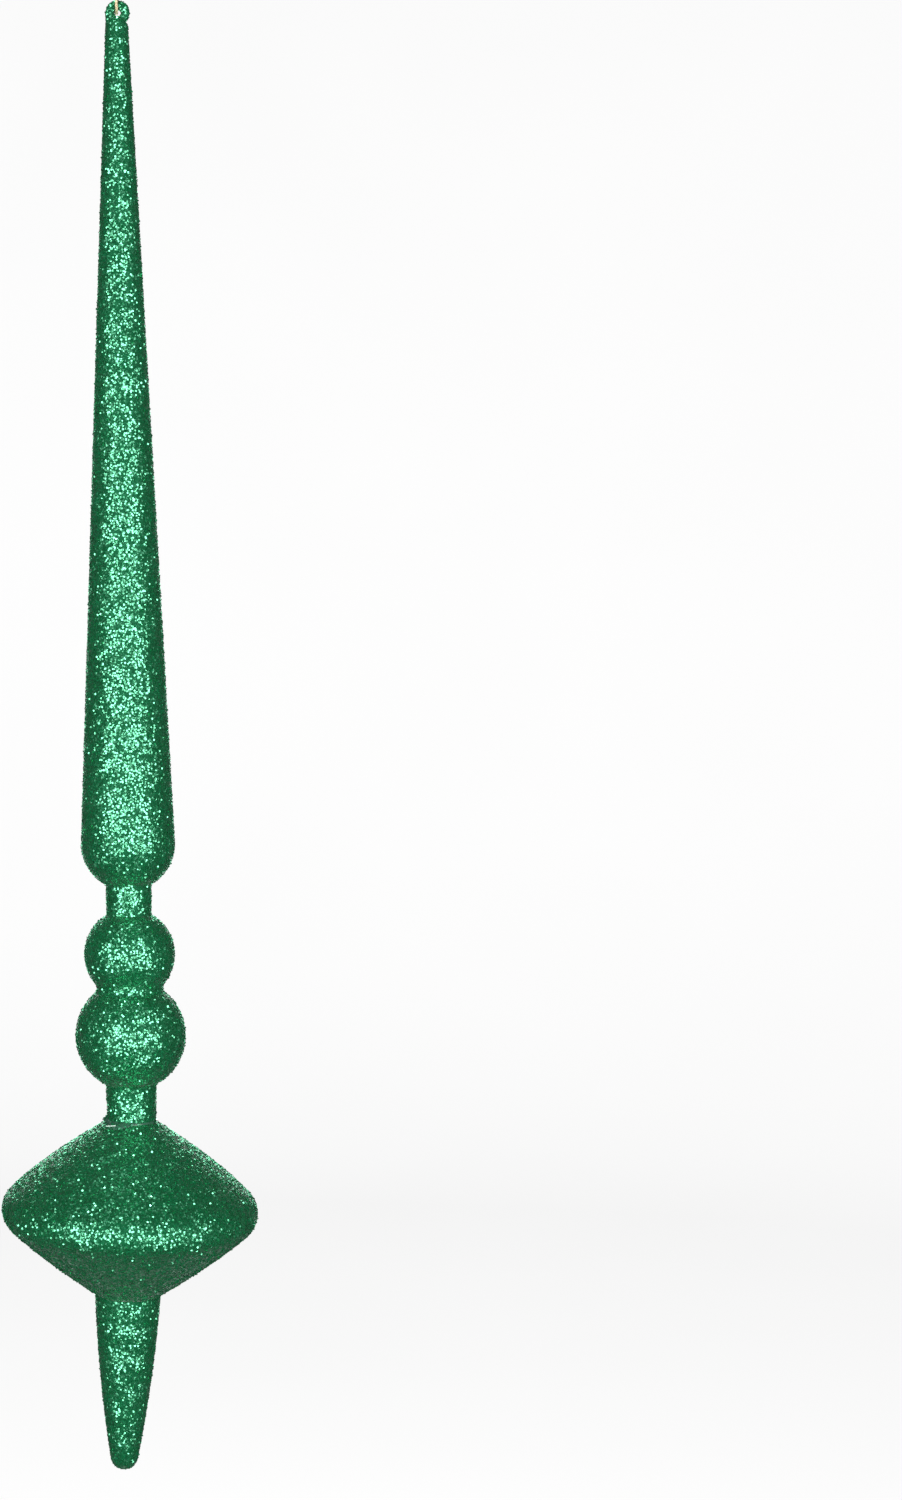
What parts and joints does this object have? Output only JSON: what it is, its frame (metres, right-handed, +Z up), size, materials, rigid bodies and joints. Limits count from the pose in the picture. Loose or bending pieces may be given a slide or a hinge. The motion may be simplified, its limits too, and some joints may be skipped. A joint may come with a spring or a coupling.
{
  "type": "icicle hanging ornament",
  "caption": "Slim glittered icicle ornament: a hollow tapering spire, stacked balls, a wide saucer and a blunt spike, hung by an eyelet from a tied loop of gold thread.",
  "frame": {"origin": "the place where a hook or a twig holds the thread loop, just under its knot", "axes": "+Z up, along the ornament's axis; the eyelet's hole runs along Y; the saucer and spike lean towards -X"},
  "size_m": [0.0794, 0.0794, 0.5122],
  "materials": {
    "glitter": "emerald plastic coated all over with fine metallic green glitter",
    "bare_plastic": "unpainted moulded plastic",
    "gold_thread": "twisted metallic gold thread"
  },
  "bodies": {
    "knot": {"thread_knot": "gold_thread"},
    "thread": {"thread_loop": "gold_thread"},
    "ornament": {"hanger_eyelet": "glitter", "spire_shell": "glitter", "spire_end_cup": "glitter", "neck_sleeve": "bare_plastic", "upper_ball_top": "glitter", "upper_ball_bottom": "glitter", "waist_collar": "glitter", "lower_ball_top": "glitter", "lower_ball_bottom": "glitter", "saucer_spigot": "bare_plastic", "glue_bead": "glitter", "saucer_top_shell": "glitter", "saucer_bottom_shell": "glitter", "spike_sleeve": "bare_plastic", "spike_shell": "glitter"}
  },
  "joints": [
    {"name": "loop_twist", "type": "hinge", "parent": "knot", "child": "thread", "pos_m": [0, 0, 0], "axis": [0, 0, 1], "range_deg": [-180, 180]},
    {"name": "ornament_swing", "type": "hinge", "parent": "thread", "child": "ornament", "pos_m": [0, 0, -0.0465], "axis": [0, 1, 0], "range_deg": [-70, 70]}
  ]
}
